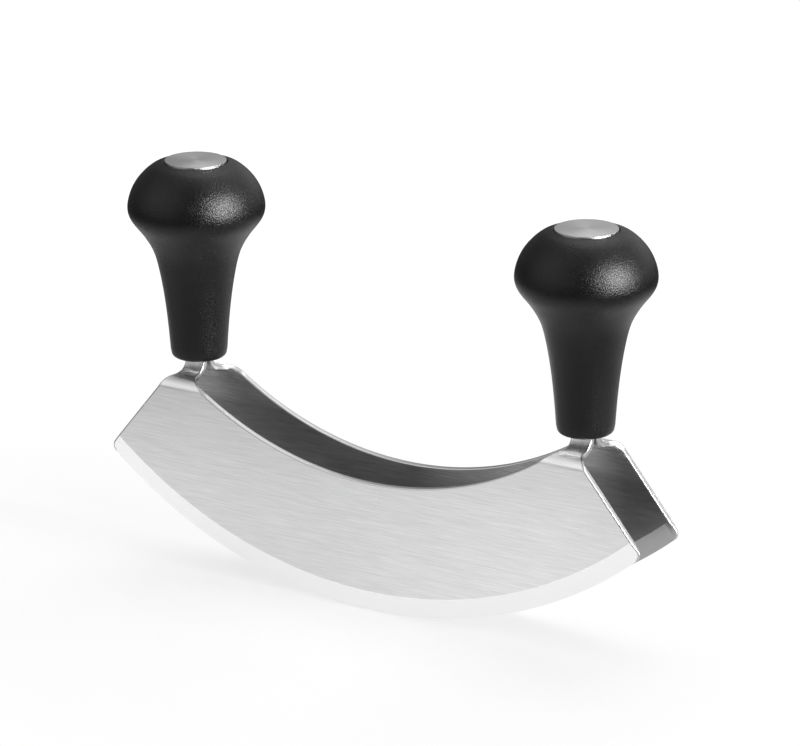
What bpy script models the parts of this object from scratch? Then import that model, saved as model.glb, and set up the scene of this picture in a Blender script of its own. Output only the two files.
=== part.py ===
"""Double-bladed mincing knife.

Two curved sheet-steel blades stand side by side. At each end a blade bends inward over a
shoulder and up into a flat tang, and the two tangs at each end carry one turned knob handle.
+X runs along the blades, +Y from the front blade to the rear one, +Z up. The origin lies
midway between the blades, level with the lowest point of their edges.
"""

import math

import bmesh
import bpy
from mathutils import Matrix, Vector
from mathutils.geometry import interpolate_bezier

# Blade blank
chord_length = 0.230
edge_radius = 0.177
blade_height = 0.049
back_radius = 0.1342
end_cut_angle = math.radians(50.3)
corner_radius = 0.0028
sheet_thickness = 0.0024
width_over_blades = 0.0287

# Ground edge, the same on both sides of the sheet
bevel_width_middle = 0.0075
bevel_width_end = 0.0066
edge_land = 0.0003

# Tangs and the shoulders that carry them
handle_inset = 0.0315
tang_width = 0.0085
tang_gap = 0.0012
tang_corner_radius = 0.0020
neck_outer_radius = 0.0050
neck_inner_radius = 0.0065
shoulder_angle = math.radians(81)
lower_bend_radius = 0.0031
upper_bend_radius = 0.0055
bend_drop = 0.0057
tang_show = 0.0006
socket_depth = 0.028

# Knob handle
handle_height = 0.0746
knob_radius = 0.0253
bottom_edge_radius = 0.0020
counterbore_depth = 0.018

# Cap disc
cap_radius = 0.0114
cap_thickness = 0.0015
cap_proud = 0.0003
cap_chamfer = 0.00025
cap_lip = 0.0004
spigot_length = 0.0040

# Stud, rivets, washer and nut inside each handle
stud_radius = 0.0030
stud_end = 0.0015
stud_foot_width = 0.0054
stud_foot_inset = 0.0030
stud_foot_overlap = 0.0020
rivet_radius = 0.0015
washer_radius = 0.0090
washer_thickness = 0.0016
nut_width = 0.0100
nut_height = 0.0050

# Clearance between pieces that touch, and how far a cutter reaches past what it cuts
fit_clearance = 0.0003
overrun = 0.0020

# Facets
edge_steps = 27
back_steps = 20
corner_steps = 8
bend_steps = 8
turn_steps = 40
grind_steps = 240
profile_steps = 3
pin_steps = 20
weld_distance = 0.00001
flat_angle = math.radians(0.1)
sharp_angle = math.radians(30)

# Handle outline from under the cap down: share of the height, share of the knob radius
knob_profile_shares = (
    (0.975, 0.636),
    (0.916, 0.826),
    (0.845, 0.949),
    (0.768, 1.000),
    (0.706, 0.937),
    (0.646, 0.798),
    (0.572, 0.664),
    (0.485, 0.577),
    (0.330, 0.492),
    (0.157, 0.435),
    (0.000, 0.400),
)

# Height of each rivet above the handle's bottom, as a share of the socket's depth
rivet_height_shares = {"lower": 0.32, "upper": 0.74}

# Finishes: colour, roughness, metallic
blade_finish = ((0.66, 0.66, 0.67), 0.28, 1.0)
handle_finish = ((0.018, 0.018, 0.019), 0.55, 0.0)
cap_finish = ((0.62, 0.62, 0.63), 0.34, 1.0)
fastener_finish = ((0.52, 0.53, 0.55), 0.40, 1.0)

# Places worked out from the sizes above
down = math.radians(-90)
up_way = Vector((0, 1))
cut_way = Vector((-math.cos(end_cut_angle), math.sin(end_cut_angle)))
blade_plane = (width_over_blades - sheet_thickness) / 2
tang_plane = (tang_gap + sheet_thickness) / 2
handle_x = chord_length / 2 - handle_inset
tang_inner_x = handle_x - tang_width / 2
tang_outer_x = handle_x + tang_width / 2
edge_centre = Vector((0, edge_radius))
back_centre = Vector((0, blade_height + back_radius))
edge_sweep = math.asin(chord_length / 2 / edge_radius)
corner = edge_centre + edge_radius * Vector((math.sin(edge_sweep), -math.cos(edge_sweep)))


def arc_points(centre, radius, start, end, steps):
    """Points along an arc from one angle to another, both ends included."""
    angles = [start + (end - start) * i / steps for i in range(steps + 1)]
    return [centre + radius * Vector((math.cos(a), math.sin(a))) for a in angles]


def round_corner(point, way_in, way_out, radius):
    """Arc that rounds a corner whose two sides leave it along way_in and way_out."""
    half = way_in.angle(way_out) / 2
    centre = point + (way_in + way_out).normalized() * radius / math.sin(half)
    first = point + way_in * radius / math.tan(half) - centre
    last = point + way_out * radius / math.tan(half) - centre
    start = math.atan2(first.y, first.x)
    sweep = math.atan2(first.cross(last), first.dot(last))
    return arc_points(centre, radius, start, start + sweep, corner_steps)


def neck_outer_arc():
    """Rounding between the end cut and the tang's outer side."""
    rise = (corner.x - tang_outer_x) * math.tan(end_cut_angle)
    point = Vector((tang_outer_x, corner.y + rise))
    return point.y, round_corner(point, -cut_way, up_way, neck_outer_radius)


def neck_inner_arc():
    """Rounding between the tang's inner side and the hollow back."""
    reach = back_radius - neck_inner_radius
    centre_x = tang_inner_x - neck_inner_radius
    centre = Vector((centre_x, back_centre.y - math.sqrt(reach**2 - centre_x**2)))
    way = centre - back_centre
    angle = math.atan2(way.y, way.x)
    crossing = back_centre.y - math.sqrt(back_radius**2 - tang_inner_x**2)
    return crossing, angle, arc_points(centre, neck_inner_radius, 0, angle, corner_steps)


outer_crossing, outer_arc = neck_outer_arc()
inner_crossing, back_angle, inner_arc = neck_inner_arc()

# Lengths along the sheet, measured up the flat blank
lower_run = lower_bend_radius * shoulder_angle
upper_run = upper_bend_radius * shoulder_angle
bend_offset = (lower_bend_radius + upper_bend_radius) * (1 - math.cos(shoulder_angle))
shoulder_run = (blade_plane - tang_plane - bend_offset) / math.sin(shoulder_angle)
bend_start = max(outer_crossing, inner_crossing) - bend_drop
shoulder_start = bend_start + lower_run
shoulder_end = shoulder_start + shoulder_run
bend_end = shoulder_end + upper_run


def bent_place(along, outward):
    """Where a point of the flat blank goes when the tang is bent: inward shift and height."""
    flat_part = min(along, bend_start)
    lower_turn = min(max(along - bend_start, 0) / lower_bend_radius, shoulder_angle)
    run = min(max(along - shoulder_start, 0), shoulder_run)
    upper_turn = min(max(along - shoulder_end, 0) / upper_bend_radius, shoulder_angle)
    tang_part = max(along - bend_end, 0)
    turn = lower_turn - upper_turn
    inward = lower_bend_radius * (1 - math.cos(lower_turn)) + run * math.sin(shoulder_angle)
    height = flat_part + lower_bend_radius * math.sin(lower_turn) + run * math.cos(shoulder_angle)
    if upper_turn > 0:
        inward += upper_bend_radius * (math.cos(turn) - math.cos(shoulder_angle))
        height += upper_bend_radius * (math.sin(shoulder_angle) - math.sin(turn)) + tang_part
    return inward - outward * math.cos(turn), height + outward * math.sin(turn)


neck_top = max(bend_end, outer_arc[-1].y, inner_arc[0].y)
handle_bottom = bent_place(neck_top, 0)[1] + tang_show
tang_top = bend_end + handle_bottom + socket_depth - bent_place(bend_end, 0)[1]


def blank_outline():
    """Outline of the flat blank: its right half, then the same points mirrored."""
    edge_way = Vector((-math.cos(edge_sweep), -math.sin(edge_sweep)))
    corner_arc = round_corner(corner, edge_way, cut_way, corner_radius)
    edge_end = edge_sweep - (corner_arc[0] - corner).length / edge_radius
    half_facet = edge_end / (2 * edge_steps + 1)
    edge = arc_points(edge_centre, edge_radius, down + half_facet, down + edge_end, edge_steps)
    outer_top = Vector((tang_outer_x, tang_top))
    inner_top = Vector((tang_inner_x, tang_top))
    left_way = Vector((-1, 0))
    tang_end = round_corner(outer_top, -up_way, left_way, tang_corner_radius)
    tang_end += round_corner(inner_top, -left_way, -up_way, tang_corner_radius)
    half_facet = (back_angle - down) / (2 * back_steps + 1)
    back = arc_points(back_centre, back_radius, back_angle, down + half_facet, back_steps)
    half = edge[:-1] + corner_arc + outer_arc + tang_end + inner_arc[:-1] + back
    return half + [Vector((-point.x, point.y)) for point in reversed(half)]


def add_object(name, data, collection, location=(0, 0, 0), parent=None):
    """Object in a collection, placed by its location under its parent."""
    piece = bpy.data.objects.new(name, data)
    piece.location = location
    piece.parent = parent
    collection.objects.link(piece)
    return piece


def add_cutter(name, data, location=(0, 0, 0), parent=None):
    """Object that only shapes others."""
    cutter = add_object(name, data, cutters, location, parent)
    cutter.hide_render = True
    cutter.display_type = "WIRE"
    return cutter


def add_boolean(piece, cutter, operation="DIFFERENCE"):
    """Cut a piece by another object, or join that object to it."""
    boolean = piece.modifiers.new(cutter.name, "BOOLEAN")
    boolean.operation = operation
    boolean.object = cutter


def add_finish(piece, finish):
    """Plain material with the piece's own colour, roughness and metallic value."""
    colour, roughness, metallic = finish
    material = bpy.data.materials.new(piece.name)
    material.use_nodes = True
    shader = material.node_tree.nodes["Principled BSDF"]
    shader.inputs["Base Color"].default_value = (*colour, 1)
    shader.inputs["Roughness"].default_value = roughness
    shader.inputs["Metallic"].default_value = metallic
    piece.data = piece.data.copy()
    piece.data.materials.append(material)


def mesh_from(name, shape):
    """Mesh made from a bmesh, with smooth round faces and sharp corners."""
    mesh = bpy.data.meshes.new(name)
    shape.to_mesh(mesh)
    shape.free()
    mesh.shade_smooth()
    mesh.set_sharp_from_angle(angle=sharp_angle)
    return mesh


def rod_mesh(name, radius, length, steps, along_y=False):
    """Solid rod centred on its origin, along Z or along Y."""
    turn = Matrix.Rotation(math.radians(90) if along_y else 0, 4, "X")
    shape = bmesh.new()
    bmesh.ops.create_cone(
        shape, cap_ends=True, segments=steps, radius1=radius, radius2=radius, depth=length, matrix=turn
    )
    return mesh_from(name, shape)


def box_mesh(name, size):
    """Solid box centred on its origin."""
    shape = bmesh.new()
    bmesh.ops.create_cube(shape, size=1, matrix=Matrix.Diagonal((*size, 1)))
    return mesh_from(name, shape)


def profile_mesh(name, profile, closed=False):
    """Edge chain of a turned shape, which runs down its outer side."""
    edges = [(i, i + 1) for i in range(len(profile) - 1)]
    if closed:
        edges.append((len(profile) - 1, 0))
    mesh = bpy.data.meshes.new(name)
    mesh.from_pydata([(point[0], 0, point[1]) for point in profile], edges, [])
    return mesh


def turn_profile(piece, steps):
    """Turn a piece's profile once round its own Z axis."""
    screw = piece.modifiers.new("turned", "SCREW")
    screw.steps = steps
    screw.render_steps = steps
    screw.use_merge_vertices = True
    screw.merge_threshold = weld_distance


def smooth_through(stations, steps):
    """Smooth curve through the stations, each span split into equal steps."""
    ways = [stations[1] - stations[0]]
    ways += [after - before for before, after in zip(stations[:-2], stations[2:])]
    ways.append(stations[-1] - stations[-2])
    points = []
    for i in range(len(stations) - 1):
        third = (stations[i + 1] - stations[i]).length / 3
        leave = stations[i] + ways[i].normalized() * third
        arrive = stations[i + 1] - ways[i + 1].normalized() * third
        points += interpolate_bezier(stations[i], leave, arrive, stations[i + 1], steps + 1)[:-1]
    return points + [stations[-1]]


def blank_mesh():
    """Flat blank cut from sheet, lying in its own XY plane."""
    curve = bpy.data.curves.new("blank", "CURVE")
    curve.dimensions = "2D"
    curve.fill_mode = "BOTH"
    curve.extrude = sheet_thickness / 2
    outline = blank_outline()
    spline = curve.splines.new("POLY")
    spline.points.add(len(outline) - 1)
    for point, place in zip(spline.points, outline):
        point.co = (place.x, place.y, 0, 1)
    spline.use_cyclic_u = True
    guide = add_cutter("blank", curve)
    scene_state = bpy.context.evaluated_depsgraph_get()
    mesh = bpy.data.meshes.new_from_object(guide.evaluated_get(scene_state))
    bpy.data.objects.remove(guide)
    return mesh


def bent_blade_mesh():
    """Blade whose two tangs are bent out of the blank; its inner side faces +Y."""
    shape = bmesh.new()
    shape.from_mesh(blank_mesh())
    bmesh.ops.remove_doubles(shape, verts=shape.verts, dist=weld_distance)
    bmesh.ops.dissolve_limit(shape, angle_limit=flat_angle, verts=shape.verts, edges=shape.edges)
    for start, run in ((bend_start, lower_run), (shoulder_end, upper_run)):
        for i in range(bend_steps + 1):
            level = Vector((0, start + run * i / bend_steps, 0))
            everything = shape.verts[:] + shape.edges[:] + shape.faces[:]
            bmesh.ops.bisect_plane(
                shape, geom=everything, dist=weld_distance, plane_co=level, plane_no=(0, 1, 0)
            )
    for vertex in shape.verts:
        inward, height = bent_place(vertex.co.y, vertex.co.z)
        vertex.co = (vertex.co.x, inward, height)
    bmesh.ops.recalc_face_normals(shape, faces=shape.faces)
    return mesh_from("bent_blade", shape)


def grind_mesh():
    """Grinding ring: a wide ring whose inner side is the groove that leaves the bevels."""
    end_point = corner + (edge_centre - corner).normalized() * bevel_width_end
    rise = end_point.y - bevel_width_middle
    centre_height = (end_point.length_squared - bevel_width_middle**2) / (2 * rise)
    bevel_start = centre_height - bevel_width_middle
    slope = (sheet_thickness - edge_land) / 2 / bevel_width_middle
    groove_root = bevel_start + sheet_thickness / 2 / slope
    groove_mouth = bevel_start - overrun
    mouth_half = sheet_thickness / 2 + overrun * slope
    side = mouth_half + overrun
    rim = groove_root + overrun
    ring = ((rim, side), (rim, -side), (groove_mouth, -side), (groove_mouth, -mouth_half))
    ring += ((groove_root, 0), (groove_mouth, mouth_half), (groove_mouth, side))
    return centre_height, profile_mesh("grind", ring, closed=True)


def knob_profile():
    """Outer profile of the handle, from the axis at the top down to the axis at the bottom."""
    top = Vector((cap_radius + fit_clearance + cap_lip, handle_height))
    stations = [top]
    for height_share, radius_share in knob_profile_shares:
        stations.append(Vector((radius_share * knob_radius, height_share * handle_height)))
    wall = [point for point in smooth_through(stations, profile_steps) if point.y > bottom_edge_radius]
    bottom = round_corner(stations[-1], up_way, Vector((-1, 0)), bottom_edge_radius)
    return [Vector((0, handle_height))] + wall + bottom + [Vector((0, 0))]


def build_blades():
    """Two equal blades that face each other, each with its own ground edge and rivet holes."""
    blade = bent_blade_mesh()
    grind_height, grind = grind_mesh()
    drill = rod_mesh("drill", rivet_radius + fit_clearance, rivet_length + 2 * overrun, pin_steps, True)
    for name, side, turn in (("front", -1, 0), ("rear", 1, math.radians(180))):
        piece = add_object(f"{name}_blade", blade, parts, (0, side * blade_plane, 0))
        piece.rotation_euler.z = turn
        grinder = add_cutter(f"{name}_grind", grind, (0, side * blade_plane, grind_height))
        grinder.rotation_euler.x = math.radians(90)
        turn_profile(grinder, grind_steps)
        add_boolean(piece, grinder)
        for handle_side in (-1, 1):
            for level, share in rivet_height_shares.items():
                place = (handle_side * handle_x, 0, handle_bottom + share * socket_depth)
                add_boolean(piece, add_cutter(f"{name}_{level}_drill", drill, place))
        add_finish(piece, blade_finish)


def build_handle(name, grip):
    """Knob with a socket for the tangs, a bore for the stud and a seat for washer and cap."""
    handle = add_object(f"{name}_handle", profile_mesh("knob", knob_profile()), parts, parent=grip)
    turn_profile(handle, turn_steps)
    opening = (
        (0, handle_height + overrun),
        (recess_radius, handle_height + overrun),
        (recess_radius, recess_floor),
        (counterbore_radius, recess_floor),
        (counterbore_radius, counterbore_floor),
        (bore_radius, counterbore_floor),
        (bore_radius, socket_depth),
        (0, socket_depth),
    )
    bore = add_cutter(f"{name}_bore", profile_mesh("bore", opening), parent=grip)
    turn_profile(bore, turn_steps)
    add_boolean(handle, bore)
    ceiling = socket_depth + fit_clearance
    size = (tang_width + 2 * fit_clearance, rivet_length + 2 * fit_clearance, ceiling + overrun)
    place = (0, 0, (ceiling - overrun) / 2)
    add_boolean(handle, add_cutter(f"{name}_socket", box_mesh("socket", size), place, grip))
    add_finish(handle, handle_finish)


def build_cap(name, grip):
    """Flat disc with a chamfered rim and a spigot that plugs the counterbore."""
    spigot_radius = counterbore_radius - fit_clearance
    underside = cap_top - cap_thickness
    profile = (
        (0, cap_top),
        (cap_radius - cap_chamfer, cap_top),
        (cap_radius, cap_top - cap_chamfer),
        (cap_radius, underside),
        (spigot_radius, underside),
        (spigot_radius, underside - spigot_length),
        (0, underside - spigot_length),
    )
    cap = add_object(f"{name}_end_cap", profile_mesh("end_cap", profile), parts, parent=grip)
    turn_profile(cap, turn_steps)
    add_finish(cap, cap_finish)


def build_stud(name, grip):
    """Stud flattened to a thin foot that fits between the two tangs."""
    bottom = socket_depth + fit_clearance
    top = nut_base + nut_height + stud_end
    rod = rod_mesh("stud", stud_radius, top - bottom, pin_steps)
    stud = add_object(f"{name}_stud", rod, parts, (0, 0, (top + bottom) / 2), grip)
    foot_top = bottom + stud_foot_overlap
    foot_size = (stud_foot_width, tang_gap - 2 * fit_clearance, foot_top - stud_foot_inset)
    foot_place = (0, 0, (foot_top + stud_foot_inset) / 2)
    foot = add_cutter(f"{name}_foot", box_mesh("foot", foot_size), foot_place, grip)
    add_boolean(stud, foot, "UNION")
    drill = rod_mesh("foot_drill", rivet_radius + fit_clearance, rivet_length, pin_steps, True)
    for level, share in rivet_height_shares.items():
        cutter = add_cutter(f"{name}_foot_{level}", drill, (0, 0, share * socket_depth), grip)
        add_boolean(stud, cutter)
    add_finish(stud, fastener_finish)


def build_rivets(name, grip):
    """Flush rivets through tang, stud foot and tang."""
    for level, share in rivet_height_shares.items():
        rod = rod_mesh("rivet", rivet_radius, rivet_length, pin_steps, True)
        rivet = add_object(f"{name}_{level}_rivet", rod, parts, (0, 0, share * socket_depth), grip)
        add_finish(rivet, fastener_finish)


def build_washer(name, grip):
    """Plain washer on the counterbore's floor."""
    top = washer_base + washer_thickness
    profile = (
        (washer_radius, top),
        (washer_radius, washer_base),
        (bore_radius, washer_base),
        (bore_radius, top),
    )
    washer = add_object(f"{name}_washer", profile_mesh("washer", profile, True), parts, parent=grip)
    turn_profile(washer, turn_steps)
    add_finish(washer, fastener_finish)


def build_nut(name, grip):
    """Hexagon nut that draws the handle down on the tangs."""
    across_corners = nut_width / math.cos(math.radians(30))
    body = rod_mesh("nut", across_corners / 2, nut_height, 6)
    place = (0, 0, nut_base + nut_height / 2)
    nut = add_object(f"{name}_nut", body, parts, place, grip)
    hole = rod_mesh("nut_hole", bore_radius, nut_height + 2 * overrun, pin_steps)
    add_boolean(nut, add_cutter(f"{name}_nut_hole", hole, place, grip))
    add_finish(nut, fastener_finish)


# Places inside a handle, measured up from its bottom
rivet_length = tang_gap + 2 * sheet_thickness
bore_radius = stud_radius + fit_clearance
counterbore_radius = washer_radius + fit_clearance
counterbore_floor = handle_height - counterbore_depth
recess_radius = cap_radius + fit_clearance
cap_top = handle_height + cap_proud
recess_floor = cap_top - cap_thickness - fit_clearance
washer_base = counterbore_floor + fit_clearance
nut_base = washer_base + washer_thickness + fit_clearance

for leftover in list(bpy.data.objects):
    bpy.data.objects.remove(leftover)
parts = bpy.data.collections.new("mincing_knife")
cutters = bpy.data.collections.new("cutters")
bpy.context.scene.collection.children.link(parts)
bpy.context.scene.collection.children.link(cutters)
build_blades()
for side_name, side in (("left", -1), ("right", 1)):
    grip = add_object(f"{side_name}_grip", None, parts, (side * handle_x, 0, handle_bottom))
    build_handle(side_name, grip)
    build_cap(side_name, grip)
    build_stud(side_name, grip)
    build_rivets(side_name, grip)
    build_washer(side_name, grip)
    build_nut(side_name, grip)
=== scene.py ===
"""Finished look of a double-bladed mincing knife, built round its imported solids.

The two blades get rounded sheet edges, a polished ground bevel and lengthwise grind lines, the
knob handles a spark-eroded black plastic, and the end caps a satin face with a rounded rim. The
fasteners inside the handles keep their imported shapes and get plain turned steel.
"""

import math

import bmesh
import bpy
from mathutils import Matrix, Vector
from mathutils.geometry import interpolate_bezier


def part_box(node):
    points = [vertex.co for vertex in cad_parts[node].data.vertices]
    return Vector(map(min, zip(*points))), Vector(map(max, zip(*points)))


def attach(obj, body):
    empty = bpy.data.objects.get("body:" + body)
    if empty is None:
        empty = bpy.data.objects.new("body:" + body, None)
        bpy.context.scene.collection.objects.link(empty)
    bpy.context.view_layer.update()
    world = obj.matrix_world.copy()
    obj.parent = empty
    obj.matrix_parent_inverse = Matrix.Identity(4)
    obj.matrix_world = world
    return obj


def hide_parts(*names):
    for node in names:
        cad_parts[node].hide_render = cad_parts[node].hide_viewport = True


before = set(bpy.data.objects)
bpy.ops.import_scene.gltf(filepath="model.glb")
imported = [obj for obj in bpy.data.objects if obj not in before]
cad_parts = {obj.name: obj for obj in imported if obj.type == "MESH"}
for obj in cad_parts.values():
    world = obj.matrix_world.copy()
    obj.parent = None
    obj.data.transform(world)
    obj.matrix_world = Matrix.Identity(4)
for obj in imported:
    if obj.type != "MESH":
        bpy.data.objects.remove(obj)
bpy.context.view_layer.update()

bl_info = {
    "name": "Mincing Knife Finish",
    "version": (1, 0, 0),
    "blender": (4, 5, 0),
    "location": "3D View > Sidebar > Mincing Knife",
    "description": "Steel, plastic and studio for a double-bladed mincing knife",
    "category": "Object",
}

SIDES = ("left", "right")
BLADES = ("front_blade", "rear_blade")
FASTENERS = ("stud", "lower_rivet", "upper_rivet", "washer", "nut")

# Places of the finishes in the list of materials of a blade and of a cap
FACE, BEVEL, RIM, INNER_FACE, INNER_BEVEL = range(5)
CAP_TOP, CAP_RIM = range(2)

# Sockets of the Mix node, whose names are the same for numbers and for colours
MIX_FACTOR = 0
NUMBER_A, NUMBER_B, NUMBER_OUT = 2, 3, 0
COLOUR_A, COLOUR_B, COLOUR_OUT = 6, 7, 2

# White cards of the dim studio, seen only in reflections: direction, degrees they fill, degrees
# where they end, level. The last one is small and strong, for the highlight on the handles.
CARDS = (
    ((-0.50, -0.76, 0.42), 22, 46, 1.00),
    ((0.55, 0.75, 0.35), 30, 74, 0.85),
    ((-0.30, 0.00, 1.00), 20, 50, 0.35),
    ((0.93, -0.08, 0.34), 9, 21, 40.0),
)

# Soft lamps: name, place, width, watts
LAMPS = (
    ("side_lamp", (1.85, -0.15, 0.80), 0.7, 18.0),
    ("top_lamp", (-0.20, 0.80, 1.95), 1.4, 14.0),
)
lamp_target = (0, 0, 0.07)

# Floor: half its width, its depth under the knife, its tone under the light and for the camera
floor_reach = 6
floor_drop = 0.0002
lit_tone = 0.80
shown_tone = 0.34

# Glow that keeps the floor white for the camera, from near the knife outwards
white_distances = (0.15, 0.60)
white_levels = (0.665, 0.77)

# Pools of light on the floor in front of and behind the knife, seen only in reflections
pool_shape = (0.6, 1.3, 1.0)
pool_distance = 0.155
pool_fade = (0.135, 0.27)
pool_levels = (1.0, 0.10)
pool_tone = 0.35
pool_glow = 0.66

# Points closer than this are one point, and cutters run this far past what they cut
weld_distance = 0.000002
overrun = 0.002

# Blade blank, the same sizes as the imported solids
chord_length = 0.230
edge_radius = 0.177
blade_height = 0.049
back_radius = 0.1342
end_cut_angle = math.radians(50.3)
corner_radius = 0.0028
sheet_thickness = 0.0024
width_over_blades = 0.0287
bevel_width_middle = 0.0075
bevel_width_end = 0.0066
edge_land = 0.0003
handle_inset = 0.0315
tang_width = 0.0085
tang_gap = 0.0012
tang_corner_radius = 0.0020
neck_outer_radius = 0.0050
neck_inner_radius = 0.0065
shoulder_angle = math.radians(81)
lower_bend_radius = 0.0031
upper_bend_radius = 0.0055
bend_drop = 0.0057

# Facets of the blade
edge_steps = 96
back_steps = 64
corner_steps = 12
bend_steps = 18
tumbled_steps = 6
hole_steps = 32

# Facets of the turned pieces
outline_steps = 8
handle_turn_steps = 144
cap_turn_steps = 128
handle_rounding_steps = 6
cap_rounding_steps = 5
settling_rounds = 30

# Corners that stay sharp in the shading, and the corner along the rim of the flat blank
blade_crease = math.radians(40)
handle_crease = math.radians(35)
cap_crease = math.radians(30)
blank_corner = math.radians(60)

# Upward part of a face's normal: on a flat side of the blank, and on the rounding of a cap
flat_side = 0.9
cap_rounding = (0.1, 0.99)

# Grinding: share of the broad lines, range that turns to tone, range of roughness it makes
broad_share = 0.25
line_range = (0.45, 0.80)
cloud_range = (0.3, 0.7)
cloud_roughness = (0.9, 1.12)

# Plastic: how much paler its painted glints are, and how its roughness changes over the knob
glint_gain = 7
uneven_roughness = (0.94, 1.06)

# Lines in a metre and colour of the turned steel
cap_lines = 2600.0
fastener_lines = 1800.0
fastener_colour = (0.52, 0.53, 0.55)

# Handle outline from under the cap down: share of the height, share of the knob radius
knob_profile_shares = (
    (0.975, 0.636),
    (0.916, 0.828),
    (0.845, 0.951),
    (0.768, 1.000),
    (0.706, 0.942),
    (0.646, 0.805),
    (0.572, 0.669),
    (0.485, 0.581),
    (0.330, 0.498),
    (0.157, 0.441),
    (0.000, 0.406),
)


# Nodes of a material

def add_node(tree, kind, values=None, **settings):
    """Node with its settings and the values of its input sockets."""
    node = tree.nodes.new(kind)
    for key, value in settings.items():
        setattr(node, key, value)
    for key, value in (values or {}).items():
        node.inputs[key].default_value = value
    return node


def feed(tree, socket, value):
    """Link another node's output to a socket, or set a plain value on it."""
    if isinstance(value, bpy.types.NodeSocket):
        tree.links.new(value, socket)
    else:
        socket.default_value = value


def object_place(tree):
    """The object's own coordinates."""
    return add_node(tree, "ShaderNodeTexCoord").outputs["Object"]


def axis_part(tree, place, axis):
    """One axis of a place."""
    parts = add_node(tree, "ShaderNodeSeparateXYZ")
    feed(tree, parts.inputs[0], place)
    return parts.outputs[axis]


def noise(tree, place, scale, detail, roughness=0.5):
    """Noise texture read at a place."""
    values = {"Scale": scale, "Detail": detail, "Roughness": roughness}
    node = add_node(tree, "ShaderNodeTexNoise", values)
    feed(tree, node.inputs["Vector"], place)
    return node.outputs["Fac"]


def spread(tree, value, before, after=(0.0, 1.0)):
    """Value stretched from one range to another and clamped."""
    ends = zip(("From Min", "From Max", "To Min", "To Max"), (*before, *after))
    node = add_node(tree, "ShaderNodeMapRange", dict(ends))
    feed(tree, node.inputs["Value"], value)
    return node.outputs[0]


def math_node(tree, operation, first, second=0.0):
    """Two values joined by one sum."""
    node = add_node(tree, "ShaderNodeMath", operation=operation)
    feed(tree, node.inputs[0], first)
    feed(tree, node.inputs[1], second)
    return node.outputs[0]


def vector_node(tree, operation, first, second=None):
    """Place worked on by one sum, alone or with a second vector."""
    node = add_node(tree, "ShaderNodeVectorMath", operation=operation)
    feed(tree, node.inputs[0], first)
    if second is not None:
        feed(tree, node.inputs[1], second)
    return node.outputs


def either(tree, test, when_true, when_false):
    """One value where the test holds, another where it doesn't, and a blend between."""
    choice = add_node(tree, "ShaderNodeMix")
    feed(tree, choice.inputs[NUMBER_A], when_false)
    feed(tree, choice.inputs[NUMBER_B], when_true)
    feed(tree, choice.inputs[MIX_FACTOR], test)
    return choice.outputs[NUMBER_OUT]


def mix_colour(tree, factor, first, second, **settings):
    """Colour between two colours, by a mask."""
    node = add_node(tree, "ShaderNodeMix", data_type="RGBA", **settings)
    feed(tree, node.inputs[COLOUR_A], first)
    feed(tree, node.inputs[COLOUR_B], second)
    feed(tree, node.inputs[MIX_FACTOR], factor)
    return node.outputs[COLOUR_OUT]


def tinted(tree, shade, amount):
    """Colour made lighter or darker by an amount that changes over the surface."""
    return mix_colour(tree, 1.0, shade, amount, blend_type="MULTIPLY", clamp_result=True)


# Node groups that the finishes share

def new_group(name, inputs, outputs):
    """Shader node group that reads a place and numbers and gives numbers, and its end nodes."""
    group = bpy.data.node_groups.new(name, "ShaderNodeTree")
    new_socket = group.interface.new_socket
    new_socket("Place", in_out="INPUT", socket_type="NodeSocketVector")
    for socket_name, value in inputs.items():
        socket = new_socket(socket_name, in_out="INPUT", socket_type="NodeSocketFloat")
        socket.default_value = value
    for socket_name in outputs:
        new_socket(socket_name, in_out="OUTPUT", socket_type="NodeSocketFloat")
    start = group.nodes.new("NodeGroupInput").outputs
    return group, start, group.nodes.new("NodeGroupOutput").inputs


def grind_lines_group():
    """Lines left by a belt that ran along X, fine ones over broad ones, with faint clouds."""
    inputs = {"Lines per Metre": 3600.0, "Line Length": 0.012}
    group, start, end = new_group("grind_lines", inputs, ("Fine", "Broad", "Clouds"))
    broad_stretch = (0.35, 0.22, 0.22)
    stretch = add_node(group, "ShaderNodeCombineXYZ")
    feed(group, stretch.inputs["X"], math_node(group, "DIVIDE", 1.0, start["Line Length"]))
    feed(group, stretch.inputs["Y"], start["Lines per Metre"])
    feed(group, stretch.inputs["Z"], start["Lines per Metre"])
    fine_place = vector_node(group, "MULTIPLY", start["Place"], stretch.outputs[0])["Vector"]
    broad_place = vector_node(group, "MULTIPLY", fine_place, broad_stretch)["Vector"]
    fine = noise(group, fine_place, scale=1.0, detail=3.0, roughness=0.65)
    broad = noise(group, broad_place, scale=1.0, detail=4.0, roughness=0.6)
    clouds = noise(group, start["Place"], scale=28.0, detail=3.0)
    feed(group, end["Fine"], fine)
    feed(group, end["Broad"], broad)
    feed(group, end["Clouds"], clouds)


def bent_sheet_group():
    """Bent sheet: mask rising with height through the bend; streaky mottle and painted sheen above.
    """
    inputs = {"Lowest": 0.064, "Full": 0.073}
    group, start, end = new_group("bent_sheet", inputs, ("Bent", "Mottle and Sheen"))
    streaks_per_metre = (300, 1600, 1600)
    # The mottle averages above 1: streaks of a scuffed finish, and a painted sheen on the bent
    # sheet
    mottle_and_sheen_levels = (0.86, 1.42)
    mottle_fade = 0.0015
    height = axis_part(group, start["Place"], "Z")
    rise = add_node(group, "ShaderNodeMapRange", interpolation_type="SMOOTHSTEP")
    feed(group, rise.inputs["Value"], height)
    feed(group, rise.inputs["From Min"], start["Lowest"])
    feed(group, rise.inputs["From Max"], start["Full"])
    streaks = vector_node(group, "MULTIPLY", start["Place"], streaks_per_metre)["Vector"]
    grain = noise(group, streaks, scale=1.0, detail=3.0, roughness=0.7)
    mottle = spread(group, grain, (0.35, 0.65), mottle_and_sheen_levels)
    above = math_node(group, "SUBTRACT", height, start["Full"])
    mottled = spread(group, above, (0.0, mottle_fade))
    feed(group, end["Bent"], rise.outputs[0])
    feed(group, end["Mottle and Sheen"], either(group, mottled, mottle, 1.0))


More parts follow.
